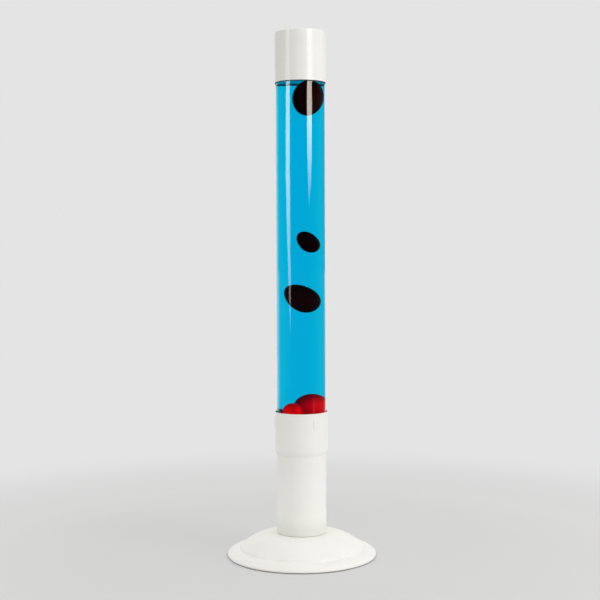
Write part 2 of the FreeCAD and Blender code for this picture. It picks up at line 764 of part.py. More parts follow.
def egg(x, level, radius, below, above, tilt):
    """Drop of wax, round about a long axis that leans to the left by the tilt."""
    centre, side = at(0, 0, 0), at(radius, 0, 0)
    lower = Part.Ellipse(at(0, 0, -below), side, centre)
    upper = Part.Ellipse(at(0, 0, above), side, centre)
    edges = [
        Part.LineSegment(at(0, 0, above), at(0, 0, -below)).toShape(),
        Part.ArcOfEllipse(lower, 0, math.pi / 2).toShape(),
        Part.ArcOfEllipse(upper, 0, math.pi / 2).toShape(),
    ]
    drop = Part.Face(Part.Wire(Part.sortEdges(edges)[0])).revolve(centre, UP, 360)
    drop.rotate(centre, FreeCAD.Vector(0, 1, 0), -tilt)
    return drop.translated(at(x, 0, level))


def wax_blob_top(grow=0.0):
    half = TOP_HALF + grow
    return egg(TOP_X, LIQUID_TOP - TOP_DROP, TOP_R + grow, half, half, 0.0)


def wax_blob_middle(grow=0.0):
    wide = MIDDLE_R + grow
    return egg(MIDDLE_X, BOTTLE_Z + MIDDLE_Z, wide, wide, MIDDLE_POINT + grow, MIDDLE_TILT)


def wax_blob_lower(grow=0.0):
    wide = LOWER_R + grow
    return egg(LOWER_X, BOTTLE_Z + LOWER_Z, wide, wide, LOWER_POINT + grow, LOWER_TILT)


def liquid():
    """Coloured liquid above the pool, with room for each piece of wax."""
    column = bottle_space(FILL_GAP, POOL_TOP + WAX_GAP, LIQUID_TOP)
    wax = (wax_mound_large, wax_mound_small, wax_blob_top, wax_blob_middle, wax_blob_lower)
    return column.cut([piece(WAX_GAP) for piece in wax])


def top_cap():
    """Loose metal cap with a rounded top edge."""
    low = CAP_TOP - CAP_H
    outer = (CAP_R - CAP_EDGE, CAP_TOP - CAP_EDGE)
    inside = CAP_EDGE - CAP_T
    return turned(
        (CAP_BORE_R, low),
        (CAP_R, low),
        (CAP_R, outer[1]),
        arc_step(outer, CAP_EDGE, 0, math.pi / 2),
        (0, CAP_TOP),
        (0, CAP_ROOF),
        (outer[0], CAP_ROOF),
        arc_step(outer, inside, math.pi / 2, 0),
    )


def cap_pad():
    """Foam ring under the cap's roof that rests on the stopper."""
    outer = CAP_R - CAP_EDGE
    return tube(outer, outer - CAP_PAD_W, CAP_PAD_Z, CAP_ROOF)


NODES = (
    base_dome, foot_pads, base_plate, ballast_disc, spacer_tube, tie_rod, rod_washers, rod_nuts,
    stem_tube, stem_bridge, collar, seat_ring, seat_gasket, cable_bush,
    lampholder, lampholder_shell, centre_contact, shell_contact,
    terminal_block, pole_screws, block_screws, live_lead, neutral_lead, earth_lead, earth_tag, earth_screw,
    bulb_envelope, bulb_cap, bulb_insulator, bulb_tip,
    glass_bottle, bottle_stopper, stopper_seal, filler_plug,
    liquid, wax_pool, wax_coil, wax_mound_large, wax_mound_small,
    wax_blob_top, wax_blob_middle, wax_blob_lower,
    top_cap, cap_pad,
)

os.makedirs("parts", exist_ok=True)
for node in NODES:
    node().exportStep(f"parts/{node.__name__}.step")
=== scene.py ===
import math

import bpy
from mathutils import Matrix, Vector


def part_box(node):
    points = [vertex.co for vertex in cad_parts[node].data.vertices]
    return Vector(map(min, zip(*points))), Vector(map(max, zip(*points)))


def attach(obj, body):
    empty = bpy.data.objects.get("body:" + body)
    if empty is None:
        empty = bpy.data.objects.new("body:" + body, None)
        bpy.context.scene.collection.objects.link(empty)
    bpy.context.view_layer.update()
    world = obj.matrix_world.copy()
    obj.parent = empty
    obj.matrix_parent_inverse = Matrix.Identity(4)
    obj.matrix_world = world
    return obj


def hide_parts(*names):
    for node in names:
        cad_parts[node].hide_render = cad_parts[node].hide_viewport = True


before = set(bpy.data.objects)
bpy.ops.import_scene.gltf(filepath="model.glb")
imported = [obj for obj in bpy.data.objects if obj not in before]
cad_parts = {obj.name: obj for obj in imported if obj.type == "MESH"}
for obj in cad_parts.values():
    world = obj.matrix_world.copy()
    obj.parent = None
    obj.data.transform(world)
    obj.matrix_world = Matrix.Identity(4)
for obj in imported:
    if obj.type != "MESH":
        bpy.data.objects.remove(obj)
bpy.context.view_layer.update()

# A giant lava lamp. The sheet parts, the glass, the liquid, the wax and the small moulded and turned
# pieces are modelled here. The other pieces keep their CAD shapes and get a finish.
# Lengths are in millimetres and turned into metres by MM.
MM = 0.001
HAIR = 0.001 * MM  # vertices that lie closer than this are one
ROUND = 192  # facets round a turned piece


def span(node):
    """Outer radius, lowest level and highest level of a turned CAD node, in millimetres."""
    low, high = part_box(node)
    return (high.x - low.x) / 2 / MM, low.z / MM, high.z / MM


def arc(centre, radius, start, end, steps=12):
    """Points of a profile arc, from one angle to another in degrees."""
    turns = [math.radians(start + (end - start) * i / steps) for i in range(steps + 1)]
    return [(centre[0] + radius * math.cos(t), centre[1] + radius * math.sin(t)) for t in turns]


def wall(radius, start, end, step=3.0):
    """Points up or down a straight wall, close enough to keep a cut in it local."""
    count = math.ceil(abs(end - start) / step)
    return [(radius, start + (end - start) * i / count) for i in range(count + 1)]


def open_all():
    """Opens the active piece in edit mode, all selected."""
    bpy.ops.object.mode_set(mode="EDIT")
    bpy.ops.mesh.select_all(action="SELECT")


def take_up(piece):
    """Makes a piece the active one and the only one selected."""
    bpy.ops.object.select_all(action="DESELECT")
    bpy.context.view_layer.objects.active = piece
    piece.select_set(True)


def start_piece(name):
    """Names the new primitive and opens it in edit mode, all selected."""
    piece = bpy.context.object
    piece.name = name
    piece.data.name = name
    open_all()
    return piece


def close_piece(piece, angle=35.0):
    """Merges doubles, points the faces outwards, leaves edit mode and smooths the shading."""
    bpy.ops.mesh.select_all(action="SELECT")
    bpy.ops.mesh.remove_doubles(threshold=HAIR)
    bpy.ops.mesh.delete_loose()
    bpy.ops.mesh.select_all(action="SELECT")
    bpy.ops.mesh.normals_make_consistent(inside=False)
    bpy.ops.object.mode_set(mode="OBJECT")
    bpy.ops.object.transform_apply(location=True, rotation=True, scale=True)
    bpy.ops.object.shade_smooth_by_angle(angle=math.radians(angle))
    return piece


def turn(name, outline, steps=ROUND, angle=35.0):
    """Draws a closed outline of (radius, level) points vertex by vertex and spins it round the axis."""
    bpy.ops.object.select_all(action="DESELECT")
    bpy.ops.mesh.primitive_plane_add(size=MM)
    piece = start_piece(name)
    bpy.ops.mesh.merge(type="CENTER")
    radius, level = outline[0]
    bpy.ops.transform.translate(value=(radius * MM, 0, level * MM))
    for r, z in outline[1:] + outline[:1]:
        step = ((r - radius) * MM, 0, (z - level) * MM)
        bpy.ops.mesh.extrude_region_move(TRANSFORM_OT_translate={"value": step})
        radius, level = r, z
    bpy.ops.mesh.select_all(action="SELECT")
    bpy.ops.mesh.spin(steps=steps, angle=2 * math.pi, center=(0, 0, 0), axis=(0, 0, 1))
    return close_piece(piece, angle)


def set_down(piece, axis, degrees, place):
    """Turns a finished piece about an axis and moves it to its place."""
    open_all()
    bpy.ops.transform.rotate(value=math.radians(degrees), orient_axis=axis, center_override=(0, 0, 0))
    bpy.ops.transform.translate(value=Vector(place) * MM)
    bpy.ops.object.mode_set(mode="OBJECT")
    return piece


def pick(piece, test):
    """Selects the vertices of the piece in edit mode that pass a test of their place."""
    bpy.ops.mesh.select_all(action="DESELECT")
    bpy.ops.object.mode_set(mode="OBJECT")
    for vertex in piece.data.vertices:
        vertex.select = test(vertex.co)
    bpy.ops.object.mode_set(mode="EDIT")


def cut_with(piece, tool, mode):
    """Joins a closed tool to a piece, cuts it away or keeps what they share, and removes the tool."""
    cut = piece.modifiers.new("cut", "BOOLEAN")
    cut.operation = mode
    cut.solver = "EXACT"
    cut.object = tool
    take_up(piece)
    bpy.ops.object.modifier_apply(modifier=cut.name)
    open_all()
    bpy.ops.mesh.remove_doubles(threshold=HAIR)
    bpy.ops.object.mode_set(mode="OBJECT")
    bpy.data.objects.remove(tool)


def line_with(piece, material, reach, low=0.0):
    """Gives the faces inside a radius and below a level, and above another, a second material."""
    piece.data.materials.append(None)
    piece.data.materials.append(material)
    for face in piece.data.polygons:
        radius, level = math.hypot(face.center.x, face.center.y) / MM, face.center.z / MM
        inside = radius < reach[0] and low < level < reach[1]
        face.material_index = 1 if inside else 0


def top_can():
    """Drawn steel cap: rounded top edge, thin wall, lower edge turned smooth and painted dark as shade."""
    radius, foot, top = span("top_cap")
    sheet, edge, hem, shade_band = 0.9, 3.0, 3.5, 1.9
    low, middle = foot - hem, radius - sheet / 2
    corner, lip = (radius - edge, top - edge), (middle, low + sheet / 2)
    outline = [(0, top)] + arc(corner, edge, 90, 0) + [(radius, low + shade_band)]
    outline += arc(lip, sheet / 2, 0, -180, 8)
    outline += arc(corner, edge - sheet, 0, 90) + [(0, top - sheet)]
    can = turn("top_can", outline)
    line_with(can, glow_and_shade_inside(low), (middle - 0.1, top - sheet / 2))
    # The outer faces below the band take the inside's dark strip: painted shade under the rim.
    for face in can.data.polygons:
        if face.center.z < (low + shade_band) * MM:
            face.material_index = 1
    return can


def collar_sleeve():
    """Rolled sleeve, drawn in to the stem, with a smoothed rim and three pressed dimples."""
    radius, low, top = span("collar")
    sheet, taper, neck, edge, plain = 1.5, 6.0, 50.1, 0.8, 8
    dimples, first, reach, drop = 3, 28.6, 52.55, 22.0
    rim = (radius - sheet / 2, top - sheet / 2)
    shoulder = [(radius - 0.25, low + taper + 0.6), (radius - 0.8, low + taper - 0.9)]
    foot = [(neck + edge + 0.25, low + 0.6), (neck + edge, low + 0.2), (neck + edge - 0.15, low)]
    outline = arc(rim, sheet / 2, 180, 0, 10) + wall(radius, top - plain, low + taper + 2) + shoulder + foot
    outline += [(neck, low), (neck, low + taper / 4)] + wall(radius - sheet, low + taper, top - plain)
    sleeve = turn("collar_sleeve", outline)
    for i in range(dimples):
        turned = math.radians(first + 360 / dimples * i)
        way = Vector((math.sin(turned), -math.cos(turned), 0))
        press(sleeve, way * reach + Vector((0, 0, top - drop)))
    return sleeve


def press(sleeve, place):
    """Raises the bump of one dimple inside the sleeve and sinks its groove outside."""
    half, slim = 7.5, 0.86
    for radius, inward, mode in ((2.7, 0.35, "UNION"), (1.5, 0.0, "DIFFERENCE")):
        bpy.ops.object.select_all(action="DESELECT")
        centre = place - place.to_2d().normalized().to_3d() * inward
        bpy.ops.mesh.primitive_uv_sphere_add(segments=24, ring_count=16, radius=radius * MM)
        tool = start_piece("dimple_tool")
        pick(tool, lambda co: co.z > HAIR)
        bpy.ops.transform.translate(value=(0, 0, half * MM))
        pick(tool, lambda co: co.z < HAIR)
        bpy.ops.transform.translate(value=(0, 0, -half * MM))
        if mode == "UNION":
            pick(tool, lambda co: True)
            bpy.ops.transform.resize(value=(slim, slim, 1))
        bpy.ops.mesh.select_all(action="SELECT")
        bpy.ops.transform.translate(value=centre * MM)
        cut_with(sleeve, close_piece(tool), mode)


def spun_dome():
    """Spun sheet: a flat for the stem, a crown, a small pressed step, a band and a rolled rim."""
    radius, low, top = span("base_dome")
    sheet, roll, hole, flat, bend, hollow = 1.5, 4.0, 5.2, 52.0, 2.0, 2.2
    brow, foot, rim, tuck = (122.8, 19.6), (126.0, 17.3), (radius - roll, 3.7), (121.9, 18.3)
    slope, inner_slope = 8, 12  # of the step, from upright
    run, drop = brow[0] - flat, top - brow[1]
    crown_r = (run**2 + drop**2) / (2 * drop)
    crown, end = (flat, top - crown_r), math.degrees(math.acos(run / crown_r))
    turned = math.radians(end)
    knee = (brow[0] - bend * math.cos(turned), brow[1] - bend * math.sin(turned))
    across, down = rim[0] - foot[0], foot[1] - hollow - rim[1]
    band_r = (down**2 + across**2 - roll**2) / (2 * (down - roll))
    band = (foot[0], foot[1] - hollow - band_r)
    join = math.degrees(math.atan2(rim[1] - band[1], across))
    tail = -math.degrees(math.asin((rim[1] - low) / roll))
    inner_band, inner_crown = 86, end + 0.5  # where the inner faces stop short of the step
    outline = [(hole, top)] + arc(crown, crown_r, 90, end, 24) + arc(knee, bend, end, slope, 5)
    outline += arc(foot, hollow, 180 + slope, 270, 6) + arc(band, band_r, 90, join)
    outline += arc(rim, roll, join, tail)
    outline += arc(rim, roll - sheet, tail, join) + arc(band, band_r - sheet, join, inner_band)
    outline += arc(foot, hollow + sheet, 270, 180 + inner_slope, 6) + [tuck]
    outline += arc(crown, crown_r - sheet, inner_crown, 90, 24) + [(hole, top - sheet)]
    return turn("spun_dome", outline)


def stem_pipe():
    """Steel pipe: its foot rolled in, its upper edge rounded, a hole in its back for the cable bush."""
    radius, low, top = span("stem_tube")
    sheet, roll, step, hole, deep = 1.5, 2.4, 4.0, 6, 20
    bore, foot, inner_foot, mouth = radius - roll - 0.4, low + 4, low + 6, top - 3
    outline = arc((radius - roll, low + roll), roll, -90, 0, 8) + wall(radius, foot, mouth, step)
    outline += arc((radius - sheet / 2, top - sheet / 2), sheet / 2, 0, 180, 6)
    outline += wall(radius - sheet, mouth, inner_foot, step) + [(bore, foot), (bore, low)]
    pipe = turn("stem_pipe", outline)
    low_bush, high_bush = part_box("cable_bush")
    bpy.ops.object.select_all(action="DESELECT")
    bpy.ops.mesh.primitive_cylinder_add(
        vertices=48, radius=hole * MM, depth=deep * MM, rotation=(math.pi / 2, 0, 0),
        location=(0, radius * MM, (low_bush.z + high_bush.z) / 2))
    cut_with(pipe, close_piece(start_piece("bush_tool")), "DIFFERENCE")
    return pipe


def glass_tube():
    """Drawn glass cylinder with a closed, rounded foot and a fire-polished mouth."""
    radius, low, top = span("glass_bottle")
    thick, floor, heel = 3.0, 3.5, 6.0
    ring = 200  # from each end to an extra ring of vertices
    corner, inner = (radius - heel, low + heel), (radius - heel, low + floor + heel - thick)
    lip = (radius - thick / 2, top - thick / 2)
    outline = [(0, low)] + arc(corner, heel, -90, 0) + [(radius, low + ring), (radius, top - ring)]
    outline += arc(lip, thick / 2, 0, 180, 10) + [(radius - thick, top - ring), (radius - thick, low + ring)]
    outline += arc(inner, heel - thick, 0, -90) + [(0, low + floor)]
    tube = turn("glass_tube", outline)
    wetted = clear_glass("wetted_clear_glass", gloss=0.0)
    line_with(tube, wetted, (radius - thick + 0.5, top), low + floor / 2)
    return tube


def dyed_liquid():
    """Column of liquid. It reaches a hair into the glass, so that no air shows between them."""
    radius, low, top = span("liquid")
    overlap, creep, ring = 0.4, 1.6, 200
    full = radius + overlap
    outline = [(0, low), (full, low), (full, top - ring), (full, top + creep)]
    outline += arc((full - creep, top + creep), creep, 0, -90, 6) + [(0, top)]
    return turn("dyed_liquid", outline)


def wax_drop(name, place, girth, above, below, lean, taper):
    """Drop of wax: an egg with a girth and two reaches, its top slimmed by taper and leaned to -X."""
    half = 32  # steps from a tip to the girth
    turns = [math.pi * i / (2 * half) for i in range(2 * half + 1)]
    outline = [(girth * math.sin(t) * (1 - taper * math.cos(t)), (above if i < half else below) * math.cos(t))
               for i, t in enumerate(turns)]
    return set_down(turn(name, outline, steps=96, angle=180.0), "Y", lean, place)


def wax_heap(name, place, radius, top, foot, flare):
    """Swelling of wax on the bed: the upper half of a ball on a flank that may spread at its foot."""
    bpy.ops.object.select_all(action="DESELECT")
    bpy.ops.mesh.primitive_uv_sphere_add(segments=96, ring_count=64, radius=radius * MM)
    heap = start_piece(name)
    pick(heap, lambda co: co.z < -HAIR)
    bpy.ops.mesh.delete(type="VERT")
    pick(heap, lambda co: co.z < HAIR)
    drop = (top - radius - foot) / len(flare)
    for spread in flare:
        bpy.ops.mesh.extrude_region_move(TRANSFORM_OT_translate={"value": (0, 0, -drop * MM)})
        bpy.ops.transform.resize(value=(spread, spread, 1))
    bpy.ops.mesh.edge_face_add()
    bpy.ops.mesh.select_all(action="SELECT")
    bpy.ops.transform.translate(value=Vector((place[0], place[1], top - radius)) * MM)
    return close_piece(heap, angle=60.0)


def wax_bed():
    """Pool of wax on the bottle's floor, rounded off against the glass."""
    radius, low, top = span("wax_pool")
    upper, lower = 5, 3
    shoulder, heel = (radius - upper, top - upper), (radius - lower, low + lower)
    outline = [(0, top)] + arc(shoulder, upper, 90, 0) + arc(heel, lower, 0, -90) + [(0, low)]
    return turn("wax_bed", outline)


def rubber_feet():
    """Six moulded feet: a rounded lower edge round a shallow dish, drafted up to the plate."""
    reach, low, top = span("foot_pads")
    size, lip, dish, draft, count = 9.0, 1.5, 0.8, 0.3, 6
    flat, bank, rim = 5.0, 5.8, 6.4  # radii of the dish
    outline = [(0, low + dish), (flat, low + dish), (bank, low + dish / 4), (rim, low)]
    outline += arc((size - lip, low + lip), lip, -90, 0, 6) + [(size - draft, top), (0, top)]
    feet = set_down(turn("rubber_feet", outline, steps=48), "Z", 0.0, (reach - size, 0, 0))
    open_all()
    for _ in range(count - 1):
        bpy.ops.mesh.duplicate()
        bpy.ops.transform.rotate(value=2 * math.pi / count, orient_axis="Z", center_override=(0, 0, 0))
    bpy.ops.object.mode_set(mode="OBJECT")
    return feet


def hex_nuts():
    """Two flat nuts on the tie rod: a hexagon chamfered at both faces and at its bore."""
    corner, low, top = span("rod_nuts")
    tall, hole, flat, slant, bevel = 3.0, 5.1, 8.2, 1.0, 0.5
    outer = corner + 0.1
    bpy.ops.object.select_all(action="DESELECT")
    bpy.ops.mesh.primitive_cylinder_add(
        vertices=6, radius=corner * MM, depth=tall * MM, rotation=(0, 0, math.pi / 6),
        location=(0, 0, tall / 2 * MM))
    nuts = close_piece(start_piece("hex_nuts"))
    barrel = [(hole + bevel, 0), (flat, 0), (outer, slant), (outer, tall - slant), (flat, tall)]
    barrel += [(hole + bevel, tall), (hole, tall - bevel), (hole, bevel)]
    cut_with(nuts, turn("nut_tool", barrel, steps=96), "INTERSECT")
    set_down(nuts, "Z", 0.0, (0, 0, low))
    open_all()
    bpy.ops.mesh.duplicate()
    bpy.ops.transform.translate(value=(0, 0, (top - tall - low) * MM))
    return close_piece(nuts)


def rubber_bush():
    """Moulded bush in the stem's back: a flange on each side of the wall and a rounded bore."""
    low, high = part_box("cable_bush")
    size, long = (high.x - low.x) / 2 / MM, (high.y - low.y) / MM
    bore, neck, flange, bevel = 3.6, 5.8, 2.0, 0.5
    inner, outer, mouth = 0.8, 1.5, 0.7  # rounds of the inner flange, the outer flange and the bore
    outline = [(bore, bevel), (bore + bevel, 0)] + arc((size - inner, inner), inner, -90, 0, 4)
    outline += [(size, flange - bevel), (size - bevel, flange), (neck, flange)]
    outline += [(neck, long - flange), (size - bevel, long - flange)]
    outline += arc((size - outer, long - outer), outer, 0, 90, 6)
    outline += arc((bore + mouth, long - mouth), mouth, 90, 180, 4)
    place = (0, low.y / MM, (low.z + high.z) / 2 / MM)
    return set_down(turn("rubber_bush", outline, steps=64), "X", 90.0, place)


def stopper_plug():
    """Moulded stopper: a plug with a lead and a seal groove, and a flange dished round the filler's seat."""
    radius, low, top = span("bottle_stopper")
    hole, plug, groove, flange, bevel, edge = 8.2, 46.05, 42.3, 4.0, 0.6, 1.2
    dish, dish_in, dish_out, slope, slack = 0.8, 14.3, 30.5, 1.2, 0.1
    lead, lead_tall = 1.5, 2.0
    seal_low, seal_high = (level.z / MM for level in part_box("stopper_seal"))
    outline = [(hole, low + bevel), (hole + bevel, low), (plug - lead, low), (plug, low + lead_tall)]
    outline += [(plug, seal_low - slack), (groove, seal_low - slack)]
    outline += [(groove, seal_high + slack), (plug, seal_high + slack)]
    outline += [(plug, top - flange), (radius - bevel, top - flange), (radius, top - flange + bevel)]
    outline += arc((radius - edge, top - edge), edge, 0, 90, 6)
    outline += [(dish_out, top), (dish_out - slope, top - dish)]
    outline += [(dish_in + slope, top - dish), (dish_in, top), (hole + bevel, top), (hole, top - bevel)]
    return turn("stopper_plug", outline)


def filler_screw():
    """Filler plug: a chamfered shank under a round-edged head with a coin slot across it."""
    radius, low, top = span("filler_plug")
    shank, head, edge, slot, bevel = 8.0, 3.0, 1.2, 2.2, 0.8
    outline = [(0, low), (shank - bevel, low), (shank, low + bevel), (shank, top - head)]
    outline += [(radius - 0.6, top - head), (radius, top - head + 0.5)]
    outline += arc((radius - edge, top - edge), edge, 0, 90, 6) + [(0, top)]
    screw = turn("filler_screw", outline, steps=96)
    bpy.ops.object.select_all(action="DESELECT")
    bpy.ops.mesh.primitive_cube_add(size=MM, location=(0, 0, top * MM), scale=(slot, 3 * radius, slot))
    cut_with(screw, close_piece(start_piece("slot_tool")), "DIFFERENCE")
    return screw


def colour(code):
    """An sRGB hex colour as linear RGBA."""
    parts = [int(code[i:i + 2], 16) / 255 for i in (1, 3, 5)]
    return [c / 12.92 if c <= 0.04045 else ((c + 0.055) / 1.055) ** 2.4 for c in parts] + [1.0]


def add(tree, kind, inputs=None, **settings):
    """Adds a node with its settings; an input is a number or colour, or the socket that feeds it."""
    node = tree.nodes.new(kind)
    for key, value in settings.items():
        setattr(node, key, value)
    feed(tree, node, inputs or {})
    return node


def feed(tree, node, inputs):
    """Sets a node's inputs: a socket is linked, and anything else becomes the input's own value."""
    for key, value in inputs.items():
        if isinstance(value, bpy.types.NodeSocket):
            tree.links.new(value, node.inputs[key])
        else:
            node.inputs[key].default_value = value


def new_finish(name, **sockets):
    """A material with its shader's constant sockets set, and Object coordinates to draw with."""
    material = bpy.data.materials.new(name)
    material.use_nodes = True
    tree = material.node_tree
    shader = tree.nodes["Principled BSDF"]
    feed(tree, shader, {key.replace("_", " "): value for key, value in sockets.items()})
    return material, tree, shader, add(tree, "ShaderNodeTexCoord").outputs["Object"]


def tones(tree, factor, dark, light, low=0.3, high=0.7):
    """Colour between two sRGB codes by a factor."""
    ramp = add(tree, "ShaderNodeValToRGB", {"Fac": factor})
    for element, code, place in zip(ramp.color_ramp.elements, (dark, light), (low, high)):
        element.color = colour(code)
        element.position = place
    return ramp.outputs["Color"]


def stock_finish(name, dark, light, grain, rough, relief, **sockets):
    """Plain made surface: two close tones, a roughness range and a relief, all on one grain in mm."""
    material, tree, shader, place = new_finish(name, **sockets)
    cloud = add(tree, "ShaderNodeTexNoise", {"Vector": place, "Scale": 1 / (grain * MM), "Detail": 5.0})
    fleck = cloud.outputs["Fac"]
    gloss = add(tree, "ShaderNodeMapRange", {"Value": fleck, "To Min": rough[0], "To Max": rough[1]})
    bump = add(tree, "ShaderNodeBump", {"Height": fleck, "Strength": 0.6, "Distance": relief * MM})
    feed(tree, shader, {
        "Base Color": tones(tree, fleck, dark, light),
        "Roughness": gloss.outputs["Result"],
        "Normal": bump.outputs["Normal"],
    })
    return material


def sprayed_enamel(name, shaded_below, unshaded_above):
    # White stove enamel sprayed on sheet steel: an even satin white with a faint orange-peel skin, drawn
    # at 2.5 mm so that it shows, and slow drifts of tone and gloss where the coat is thicker. Painted
    # shade greys it from one level down to another, darker towards the bottom.
    material, tree, shader, place = new_finish(
        name, Coat_Weight=0.2, Coat_Roughness=0.12, IOR=1.5, Specular_IOR_Level=0.05)
    drift = add(tree, "ShaderNodeTexNoise", {"Vector": place, "Scale": 1 / (70 * MM), "Detail": 3.0})
    peel = add(tree, "ShaderNodeTexNoise", {"Vector": place, "Scale": 1 / (2.5 * MM), "Detail": 2.0})
    gloss = add(tree, "ShaderNodeMapRange", {"Value": drift.outputs["Fac"], "To Min": 0.5, "To Max": 0.6})
    skin = add(tree, "ShaderNodeBump", {
        "Height": peel.outputs["Fac"], "Strength": 0.25, "Distance": 0.02 * MM})
    height = add(tree, "ShaderNodeSeparateXYZ", {"Vector": place}).outputs["Z"]
    # painted shade: a grey mixed in below one level, fading out above another
    foot_shade = add(tree, "ShaderNodeMapRange", {
        "Value": height, "From Min": shaded_below * MM, "From Max": unshaded_above * MM}, interpolation_type="SMOOTHSTEP")
    paint = add(tree, "ShaderNodeMix", {
        "Factor": foot_shade.outputs["Result"], 6: colour("#E8E7E1"),
        7: tones(tree, drift.outputs["Fac"], "#F5F4EE", "#F8F7F2")}, data_type="RGBA")
    feed(tree, shader, {
        "Base Color": paint.outputs[2],
        "Roughness": gloss.outputs["Result"],
        "Normal": skin.outputs["Normal"],
    })
    return material


def clear_glass(name, gloss):
    # Drawn borosilicate tube: clear, with very faint long draw lines. Where water wets it, the two nearly
    # match, so the inner wall mirrors next to nothing.
    material, tree, shader, place = new_finish(name, Transmission_Weight=1.0, IOR=1.47, Roughness=0.0)
    shader.inputs["Base Color"].default_value = colour("#FCFEFE")
    shader.inputs["Specular Tint"].default_value = (gloss, gloss, gloss, 1.0)
    stretched = add(tree, "ShaderNodeMapping", {"Vector": place, "Scale": (1.0, 1.0, 0.01)})
    lines = add(tree, "ShaderNodeTexNoise", {
        "Vector": stretched.outputs["Vector"], "Scale": 1 / (14 * MM), "Detail": 1.0})
    bump = add(tree, "ShaderNodeBump", {
        "Height": lines.outputs["Fac"], "Strength": 0.1, "Distance": 0.002 * MM})
    feed(tree, shader, {"Normal": bump.outputs["Normal"]})
    return material


def glow_and_shade_inside(low):
    # Inside of the cap: white-primed steel with a painted glow that stands in for the bulb's light coming up
    # through the liquid, and a dark strip along its lower edge that is painted shade.
    material, tree, shader, place = new_finish(
        "primed_steel_painted_glow_and_shade", IOR=1.5, Specular_IOR_Level=0.2)
    height = add(tree, "ShaderNodeSeparateXYZ", {"Vector": place}).outputs["Z"]
    strip = add(tree, "ShaderNodeMapRange", {
        "Value": height, "From Min": (low + 2.6) * MM, "From Max": (low + 4.6) * MM})
    mottle = add(tree, "ShaderNodeTexNoise", {"Vector": place, "Scale": 1 / (6 * MM), "Detail": 4.0})
    gloss = add(tree, "ShaderNodeMapRange", {"Value": mottle.outputs["Fac"], "To Min": 0.5, "To Max": 0.7})
    # painted glow: emission standing in for the bulb's light, above the painted shade of the strip
    lit = add(tree, "ShaderNodeMath", {0: strip.outputs["Result"], 1: 0.37}, operation="MULTIPLY")
    shader.inputs["Emission Color"].default_value = colour("#F4F6F6")
    feed(tree, shader, {
        "Base Color": tones(tree, strip.outputs["Result"], "#101214", "#D4D6D6", 0.0, 1.0),
        "Roughness": gloss.outputs["Result"],
        "Emission Strength": lit.outputs["Value"],
    })
    return material


def blue_water():
    # Water with a cyan dye: clear, and a deeper blue the further one looks through it.
    material, tree, shader, _ = new_finish(
        "dyed_blue_water", Transmission_Weight=1.0, IOR=1.333, Roughness=0.0)
    shader.inputs["Base Color"].default_value = colour("#FFFFFF")
    shader.inputs["Specular Tint"].default_value = (0.0, 0.0, 0.0, 1.0)
    dye = add(tree, "ShaderNodeVolumeAbsorption", {"Color": (0.0, 0.933, 0.991, 1.0), "Density": 100.0})
    feed(tree, tree.nodes["Material Output"], {"Volume": dye.outputs["Volume"]})
    return material


def red_wax(name, dark, light, glow_from, glow_to, low, high):
    # Dyed paraffin wax, melted and set many times: a smooth, faintly clouded red skin. A painted glow
    # stands in for the bulb's light in its body, growing from one point of the wax to another, and painted
    # shade darkens its foot under the collar. Under water wax shows almost no gloss, because the two
    # bend light nearly alike.
    material, tree, shader, place = new_finish(name, IOR=1.08)
    cloud = add(tree, "ShaderNodeTexNoise", {"Vector": place, "Scale": 1 / (18 * MM), "Detail": 3.0})
    gloss = add(tree, "ShaderNodeMapRange", {"Value": cloud.outputs["Fac"], "To Min": 0.3, "To Max": 0.42})
    along = Vector(glow_to) - Vector(glow_from)
    way = add(tree, "ShaderNodeVectorMath", {0: place, 1: Vector(glow_from) * MM}, operation="SUBTRACT")
    reach = add(tree, "ShaderNodeVectorMath", {
        0: way.outputs["Vector"], 1: along / along.length_squared / MM}, operation="DOT_PRODUCT")
    lit = add(tree, "ShaderNodeMapRange", {
        "Value": reach.outputs["Value"], "To Min": low, "To Max": high}, interpolation_type="SMOOTHSTEP")
    height = add(tree, "ShaderNodeSeparateXYZ", {"Vector": place}).outputs["Z"]
    # painted shade: darker towards the foot, where the collar shades the wax
    shade = add(tree, "ShaderNodeMapRange", {
        "Value": height, "From Min": 278 * MM, "From Max": 308 * MM, "To Min": 0.3, "To Max": 1.0})
    level = add(tree, "ShaderNodeMath", {0: lit.outputs["Result"], 1: shade.outputs["Result"]},
                operation="MULTIPLY")
    shader.inputs["Emission Color"].default_value = colour("#F40006")
    feed(tree, shader, {
        "Base Color": tones(tree, cloud.outputs["Fac"], dark, light),
        "Roughness": gloss.outputs["Result"],
        "Emission Strength": level.outputs["Value"],
    })
    return material


def reflector_glass():
    # Blown reflector bulb: silvered inside up to its rim, frosted white across its face.
    material, tree, shader, place = new_finish("silvered_and_frosted_bulb_glass", IOR=1.5)
    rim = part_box("bulb_envelope")[1].z - 14 * MM
    height = add(tree, "ShaderNodeSeparateXYZ", {"Vector": place}).outputs["Z"]
    face = add(tree, "ShaderNodeMapRange", {"Value": height, "From Min": rim, "From Max": rim + 3 * MM})
    frost = add(tree, "ShaderNodeTexNoise", {"Vector": place, "Scale": 1 / (2 * MM), "Detail": 3.0})
    grain = add(tree, "ShaderNodeMapRange", {
        "Value": frost.outputs["Fac"], "To Min": 0.08, "To Max": 0.22})
    silver = add(tree, "ShaderNodeMath", {0: 1.0, 1: face.outputs["Result"]}, operation="SUBTRACT")
    rough = add(tree, "ShaderNodeMath", {
        0: face.outputs["Result"], 1: 0.4, 2: grain.outputs["Result"]}, operation="MULTIPLY_ADD")
    feed(tree, shader, {
        "Base Color": tones(tree, face.outputs["Result"], "#C9CACC", "#F2F1EC", 0.0, 1.0),
        "Metallic": silver.outputs["Value"],
        "Roughness": rough.outputs["Value"],
    })
    return material


